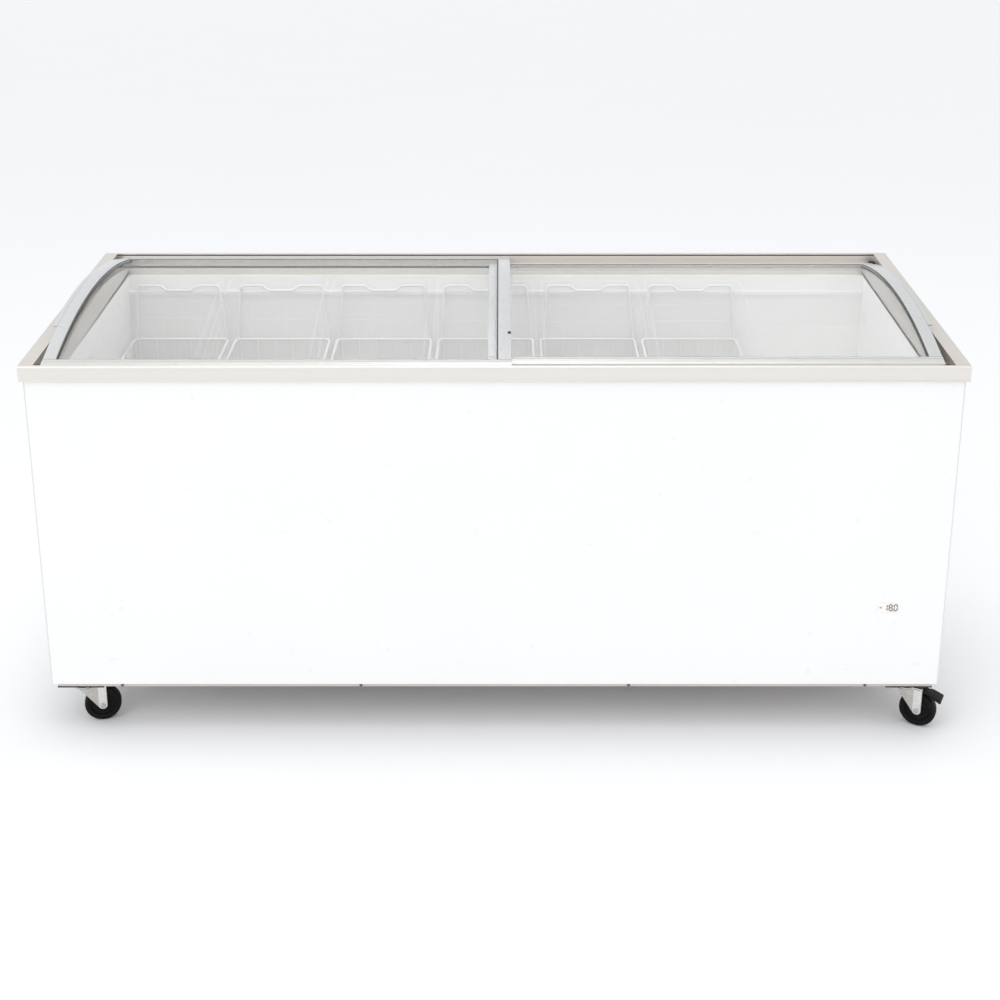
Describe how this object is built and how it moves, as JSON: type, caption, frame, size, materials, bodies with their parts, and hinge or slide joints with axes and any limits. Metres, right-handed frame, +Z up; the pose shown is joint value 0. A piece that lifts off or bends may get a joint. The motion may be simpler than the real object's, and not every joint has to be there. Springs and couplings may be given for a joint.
{
  "type": "chest freezer",
  "caption": "Long white chest freezer with a sloping top frame, bowed sliding glass lids, hanging wire baskets and swivel castors.",
  "frame": {"origin": "on the floor under the middle of the whole object's box", "axes": "+X along the length to the right as seen from the front, front faces -Y, +Z up"},
  "size_m": [1.8646, 0.6548, 0.886],
  "materials": {
    "cabinet_white": "smooth gloss paint",
    "rear_grey": "galvanised sheet",
    "foam": "rigid foam",
    "pan_steel": "coated sheet",
    "dark_screw": "blackened",
    "frame_alu": "satin",
    "lid_alu": "satin",
    "rubber": "matt",
    "white_plastic": "satin",
    "display_glass": "clear",
    "board": "matt",
    "dark_plastic": "satin",
    "black_paint": "satin paint",
    "motor_metal": "satin",
    "copper": "drawn tube",
    "lid_glass": "tempered",
    "zinc": "zinc plated",
    "wheel_rubber": "matt",
    "basket_white": "plastic coated wire"
  },
  "bodies": {
    "cabinet": {"outer_shell": "cabinet_white", "rear_panel": "rear_grey", "inner_liner": "cabinet_white", "insulation_foam": "foam", "base_pan": "pan_steel", "base_screws": "dark_screw", "front_rail": "frame_alu", "rear_rail": "frame_alu", "left_side_rail": "frame_alu", "right_side_rail": "frame_alu", "frame_bumpers": "rubber", "display_bezel": "white_plastic", "display_window": "display_glass", "display_board": "board", "end_grille": "white_plastic", "rear_grille": "dark_plastic", "compressor": "black_paint", "compressor_grommets": "rubber", "start_relay_box": "white_plastic", "condenser_coil": "black_paint", "fan_bracket": "black_paint", "fan_motor": "motor_metal", "filter_drier": "copper", "refrigerant_pipe": "copper", "evaporator_tube": "copper", "drain_spout": "white_plastic", "drain_plug": "white_plastic", "cord_inlet": "dark_plastic", "castor_plates": "zinc"},
    "upper_lid": {"upper_lid_glass": "lid_glass", "upper_lid_front_bar": "lid_alu", "upper_lid_rear_bar": "lid_alu", "upper_lid_end_frame": "lid_alu", "upper_lid_middle_frame": "lid_alu", "upper_lid_seal": "rubber"},
    "lock": {"lid_lock_barrel": "dark_screw"},
    "lower_lid": {"lower_lid_glass": "lid_glass", "lower_lid_front_bar": "lid_alu", "lower_lid_rear_bar": "lid_alu", "lower_lid_end_frame": "lid_alu", "lower_lid_middle_frame": "lid_alu", "lower_lid_seal": "rubber"},
    "fan": {"fan_blade": "dark_plastic"},
    "brake_pedal": {"castor_brake_pedal": "dark_plastic"},
    "fork_front_left": {"castor_fork_front_left": "zinc"},
    "wheel_front_left": {"castor_wheel_front_left": "wheel_rubber"},
    "fork_front_right": {"castor_fork_front_right": "zinc"},
    "wheel_front_right": {"castor_wheel_front_right": "wheel_rubber"},
    "fork_rear_left": {"castor_fork_rear_left": "zinc"},
    "wheel_rear_left": {"castor_wheel_rear_left": "wheel_rubber"},
    "fork_rear_right": {"castor_fork_rear_right": "zinc"},
    "wheel_rear_right": {"castor_wheel_rear_right": "wheel_rubber"},
    "basket_1": {"basket_1": "basket_white"},
    "basket_2": {"basket_2": "basket_white"},
    "basket_3": {"basket_3": "basket_white"},
    "basket_4": {"basket_4": "basket_white"},
    "basket_5": {"basket_5": "basket_white"},
    "basket_6": {"basket_6": "basket_white"}
  },
  "joints": [
    {"name": "upper_lid_slide", "type": "slide", "parent": "cabinet", "child": "upper_lid", "axis": [1, 0, 0], "range_m": [0, 0.85]},
    {"name": "lower_lid_slide", "type": "slide", "parent": "cabinet", "child": "lower_lid", "axis": [-1, 0, 0], "range_m": [0, 0.87]},
    {"name": "lock_turn", "type": "hinge", "parent": "upper_lid", "child": "lock", "pos_m": [0.0295, -0.21285, 0.83042], "axis": [0, -0.3296, 0.9441], "range_deg": [0, 90]},
    {"name": "fan_spin", "type": "hinge", "parent": "cabinet", "child": "fan", "pos_m": [0.762, -0.2035, 0.2002], "axis": [0, 1, 0], "continuous": true},
    {"name": "swivel_front_left", "type": "hinge", "parent": "cabinet", "child": "fork_front_left", "pos_m": [-0.859, -0.2815, 0.086], "axis": [0, 0, 1], "continuous": true},
    {"name": "roll_front_left", "type": "hinge", "parent": "fork_front_left", "child": "wheel_front_left", "pos_m": [-0.82809, -0.27322, 0.0375], "axis": [-0.2588, 0.9659, 0], "continuous": true},
    {"name": "swivel_front_right", "type": "hinge", "parent": "cabinet", "child": "fork_front_right", "pos_m": [0.859, -0.2815, 0.086], "axis": [0, 0, 1], "continuous": true},
    {"name": "roll_front_right", "type": "hinge", "parent": "fork_front_right", "child": "wheel_front_right", "pos_m": [0.88725, -0.29652, 0.0375], "axis": [0.4695, 0.8829, 0], "continuous": true},
    {"name": "brake_press", "type": "hinge", "parent": "fork_front_right", "child": "brake_pedal", "pos_m": [0.87401, -0.28948, 0.0805], "axis": [0.4695, 0.8829, 0], "range_deg": [0, 5]},
    {"name": "swivel_rear_left", "type": "hinge", "parent": "cabinet", "child": "fork_rear_left", "pos_m": [-0.859, 0.2815, 0.086], "axis": [0, 0, 1], "continuous": true},
    {"name": "roll_rear_left", "type": "hinge", "parent": "fork_rear_left", "child": "wheel_rear_left", "pos_m": [-0.88991, 0.28978, 0.0375], "axis": [-0.2588, -0.9659, 0], "continuous": true},
    {"name": "swivel_rear_right", "type": "hinge", "parent": "cabinet", "child": "fork_rear_right", "pos_m": [0.859, 0.2815, 0.086], "axis": [0, 0, 1], "continuous": true},
    {"name": "roll_rear_right", "type": "hinge", "parent": "fork_rear_right", "child": "wheel_rear_right", "pos_m": [0.88907, 0.29244, 0.0375], "axis": [-0.342, 0.9397, 0], "continuous": true},
    {"name": "basket_1_lift", "type": "slide", "parent": "cabinet", "child": "basket_1", "axis": [0, 0, 1], "range_m": [0, 0.025]},
    {"name": "basket_2_lift", "type": "slide", "parent": "cabinet", "child": "basket_2", "axis": [0, 0, 1], "range_m": [0, 0.025]},
    {"name": "basket_3_lift", "type": "slide", "parent": "cabinet", "child": "basket_3", "axis": [0, 0, 1], "range_m": [0, 0.025]},
    {"name": "basket_4_lift", "type": "slide", "parent": "cabinet", "child": "basket_4", "axis": [0, 0, 1], "range_m": [0, 0.025]},
    {"name": "basket_5_lift", "type": "slide", "parent": "cabinet", "child": "basket_5", "axis": [0, 0, 1], "range_m": [0, 0.025]},
    {"name": "basket_6_lift", "type": "slide", "parent": "cabinet", "child": "basket_6", "axis": [0, 0, 1], "range_m": [0, 0.025]}
  ]
}
